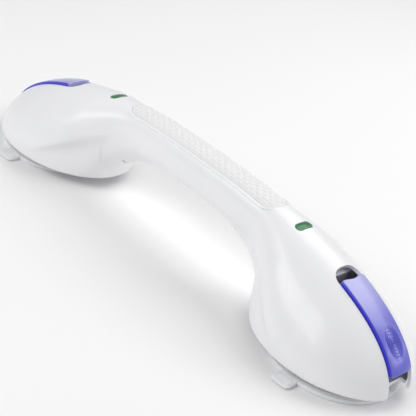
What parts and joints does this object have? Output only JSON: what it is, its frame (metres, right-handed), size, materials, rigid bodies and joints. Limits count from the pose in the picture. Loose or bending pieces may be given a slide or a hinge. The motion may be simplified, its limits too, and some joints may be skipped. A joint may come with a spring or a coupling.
{
  "type": "suction grab bar",
  "caption": "Removable suction grab bar: arched hollow handle between egg-shaped bells with rubber suction cups, flip locking levers and vacuum indicators.",
  "frame": {"origin": "on the wall plane under the middle of the whole bar, pull tabs included", "axes": "+X along the bar to the right-hand bell, +Y across the bar away from the pull tabs, +Z away from the wall"},
  "size_m": [0.4158, 0.108, 0.0804],
  "materials": {
    "shell_white": "smooth satin-gloss moulding",
    "grip_white": "fine raised anti-slip lozenges",
    "lever_blue": "glossy, slightly pearly top",
    "housing_grey": "smooth moulded",
    "cup_rubber": "translucent pale elastomer",
    "window_green": "clear tinted window",
    "drum_green": "two-colour moulding, green with a red sector",
    "bright_steel": "plain stainless",
    "chrome_pin": "polished"
  },
  "bodies": {
    "shell_body": {"upper_shell": "shell_white", "handle_cover": "shell_white", "grip_panel": "grip_white", "cover_screw_1": "bright_steel", "cover_screw_2": "bright_steel", "cover_screw_3": "bright_steel", "base_plate_left": "shell_white", "cam_housing_left": "housing_grey", "wear_plate_left": "bright_steel", "indicator_lens_left": "window_green", "indicator_bracket_left": "shell_white", "plate_screw_1_left": "bright_steel", "plate_screw_2_left": "bright_steel", "plate_screw_3_left": "bright_steel", "plate_screw_4_left": "bright_steel", "base_plate_right": "shell_white", "cam_housing_right": "housing_grey", "wear_plate_right": "bright_steel", "indicator_lens_right": "window_green", "indicator_bracket_right": "shell_white", "plate_screw_1_right": "bright_steel", "plate_screw_2_right": "bright_steel", "plate_screw_3_right": "bright_steel", "plate_screw_4_right": "bright_steel"},
    "cup_left": {"suction_cup_left": "cup_rubber", "cup_stem_left": "bright_steel", "lever_pin_left": "bright_steel"},
    "flip_lever_left": {"lever_left": "lever_blue"},
    "feeler_left": {"feeler_pin_left": "chrome_pin", "feeler_spring_left": "bright_steel"},
    "drum_left": {"indicator_drum_left": "drum_green"},
    "cup_right": {"suction_cup_right": "cup_rubber", "cup_stem_right": "bright_steel", "lever_pin_right": "bright_steel"},
    "flip_lever_right": {"lever_right": "lever_blue"},
    "feeler_right": {"feeler_pin_right": "chrome_pin", "feeler_spring_right": "bright_steel"},
    "drum_right": {"indicator_drum_right": "drum_green"}
  },
  "joints": [
    {"name": "stem_slide_left", "type": "slide", "parent": "shell_body", "child": "cup_left", "axis": [0, 0, 1], "range_m": [-0.0035, 0]},
    {"name": "lever_flip_left", "type": "hinge", "parent": "cup_left", "child": "flip_lever_left", "pos_m": [-0.155, 0.004, 0.04946], "axis": [0, 1, 0], "range_deg": [0, 95]},
    {"name": "feeler_slide_left", "type": "slide", "parent": "shell_body", "child": "feeler_left", "axis": [0, 0, 1], "range_m": [-0.004, 0], "stiffness_N_per_m": 120, "deforming": ["feeler_spring_left"]},
    {"name": "drum_turn_left", "type": "hinge", "parent": "shell_body", "child": "drum_left", "pos_m": [-0.0995, 0.004, 0.06417], "axis": [0, 1, 0], "range_deg": [-60, 0]},
    {"name": "stem_slide_right", "type": "slide", "parent": "shell_body", "child": "cup_right", "axis": [0, 0, 1], "range_m": [-0.0035, 0]},
    {"name": "lever_flip_right", "type": "hinge", "parent": "cup_right", "child": "flip_lever_right", "pos_m": [0.155, 0.004, 0.04946], "axis": [0, -1, 0], "range_deg": [0, 95]},
    {"name": "feeler_slide_right", "type": "slide", "parent": "shell_body", "child": "feeler_right", "axis": [0, 0, 1], "range_m": [-0.004, 0], "stiffness_N_per_m": 120, "deforming": ["feeler_spring_right"]},
    {"name": "drum_turn_right", "type": "hinge", "parent": "shell_body", "child": "drum_right", "pos_m": [0.0995, 0.004, 0.06417], "axis": [0, 1, 0], "range_deg": [-60, 0]}
  ],
  "couplings": [
    {"joint": "stem_slide_left", "follows": "lever_flip_left", "m_per_rad": -0.00211},
    {"joint": "drum_turn_left", "follows": "feeler_slide_left", "rad_per_m": 261.5},
    {"joint": "stem_slide_right", "follows": "lever_flip_right", "m_per_rad": -0.00211},
    {"joint": "drum_turn_right", "follows": "feeler_slide_right", "rad_per_m": 261.5}
  ]
}
